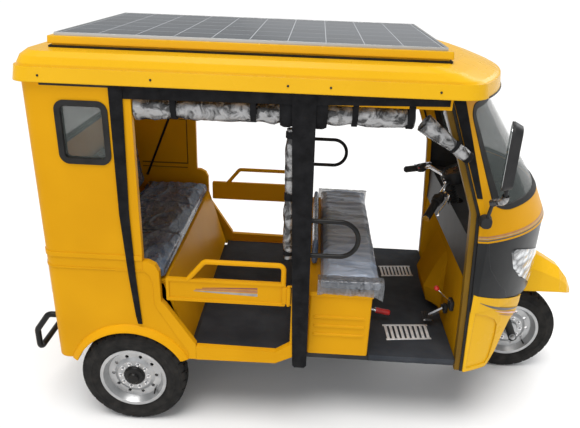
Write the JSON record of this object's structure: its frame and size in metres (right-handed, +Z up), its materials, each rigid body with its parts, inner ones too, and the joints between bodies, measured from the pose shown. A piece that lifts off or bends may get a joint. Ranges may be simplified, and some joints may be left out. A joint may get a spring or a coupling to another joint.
{
  "type": "electric passenger tricycle with a solar roof",
  "caption": "Yellow three-wheeled electric passenger taxi with a solar panel on its moulded roof, open sides with door bars, a rear bench, a driver's seat and a handlebar-steered front wheel.",
  "frame": {"origin": "on the ground under the middle of the vehicle's bounding box", "axes": "+X points forwards, +Y to the vehicle's left and +Z up"},
  "size_m": [2.87, 1.5308, 1.913],
  "materials": {
    "yellow_paint": "gloss yellow paint over sheet steel",
    "yellow_moulding": "gloss yellow moulded plastic",
    "black_moulding": "gloss black moulded plastic",
    "black_paint": "satin black paint",
    "black_plastic": "matt black plastic",
    "rubber": "black rubber profile",
    "mat": "ribbed black rubber sheet",
    "tyre": "black tyre rubber",
    "silver_steel": "silver paint on pressed steel",
    "bright_steel": "plated tube",
    "grey_steel": "dark grey chassis paint",
    "aluminium": "anodised extrusion",
    "solar_cells": "dark blue cells under clear glass",
    "glass": "faintly green clear glass",
    "lamp_clear": "clear lamp lens over a silver bowl",
    "lamp_red": "red lamp lens",
    "seat_grey": "dark grey leathercloth under thin clear film",
    "curtain": "clear soft plastic sheet, rolled and creased",
    "webbing": "black cloth strap",
    "battery_case": "dark battery cases",
    "motor_case": "cast motor housing"
  },
  "bodies": {
    "chassis": {"battery_pack": "battery_case", "bench_back": "seat_grey", "bench_base": "yellow_paint", "bench_cushion": "seat_grey", "brake_controls": "bright_steel", "bulkhead": "yellow_paint", "dash_panel": "black_plastic", "door_straps": "webbing", "drive_motor": "motor_case", "driver_back": "seat_grey", "driver_base": "yellow_paint", "driver_cushion": "seat_grey", "floor_mats": "mat", "floor_pan": "grey_steel", "front_cowl": "yellow_paint", "grab_handles": "black_paint", "headlamps": "lamp_clear", "ladder_frame": "grey_steel", "leaf_springs": "grey_steel", "leg_shields": "yellow_moulding", "mirrors": "black_plastic", "mudguard": "yellow_moulding", "nose_panel": "black_moulding", "quarter_panels": "yellow_paint", "rear_axle": "grey_steel", "rear_bumper": "black_paint", "rear_panel": "yellow_paint", "rolled_curtains": "curtain", "roof_shell": "yellow_moulding", "side_frames": "yellow_paint", "sills": "yellow_paint", "solar_frame": "aluminium", "solar_laminate": "solar_cells", "tail_lamps": "lamp_red", "wheel_housings": "black_paint", "window_glass": "glass", "window_rubbers": "rubber"},
    "steering": {"fork": "black_paint", "handlebar": "bright_steel"},
    "front_wheel": {"front_tyre": "tyre", "front_rim": "silver_steel"},
    "rear_wheel_right": {"rear_tyre_right": "tyre", "rear_rim_right": "silver_steel"},
    "rear_wheel_left": {"rear_tyre_left": "tyre", "rear_rim_left": "silver_steel"},
    "door_bar_right_leaf": {"door_bar_right": "yellow_paint"},
    "door_bar_left_leaf": {"door_bar_left": "yellow_paint"},
    "locker_lid_leaf": {"locker_lid": "yellow_paint"}
  },
  "joints": [
    {"name": "steer", "type": "hinge", "parent": "chassis", "child": "steering", "pos_m": [1.08597, 0, 0.2426], "axis": [-0.4226, 0, 0.9063], "range_deg": [-38, 38]},
    {"name": "front_wheel_spin", "type": "hinge", "parent": "steering", "child": "front_wheel", "pos_m": [1.134, 0, 0.265], "axis": [0, 1, 0], "continuous": true},
    {"name": "rear_wheel_right_spin", "type": "hinge", "parent": "chassis", "child": "rear_wheel_right", "pos_m": [-0.92, -0.618, 0.265], "axis": [0, 1, 0], "continuous": true},
    {"name": "rear_wheel_left_spin", "type": "hinge", "parent": "chassis", "child": "rear_wheel_left", "pos_m": [-0.92, 0.618, 0.265], "axis": [0, 1, 0], "continuous": true},
    {"name": "door_bar_right_swing", "type": "hinge", "parent": "chassis", "child": "door_bar_right_leaf", "pos_m": [-0.154, -0.66, 0.787], "axis": [0, 0, 1], "range_deg": [0, 95]},
    {"name": "door_bar_left_swing", "type": "hinge", "parent": "chassis", "child": "door_bar_left_leaf", "pos_m": [-0.154, 0.66, 0.787], "axis": [0, 0, -1], "range_deg": [0, 95]},
    {"name": "locker_lid_swing", "type": "hinge", "parent": "chassis", "child": "locker_lid_leaf", "pos_m": [-1.307, 0, 0.78], "axis": [0, 1, 0], "range_deg": [0, 80]}
  ]
}
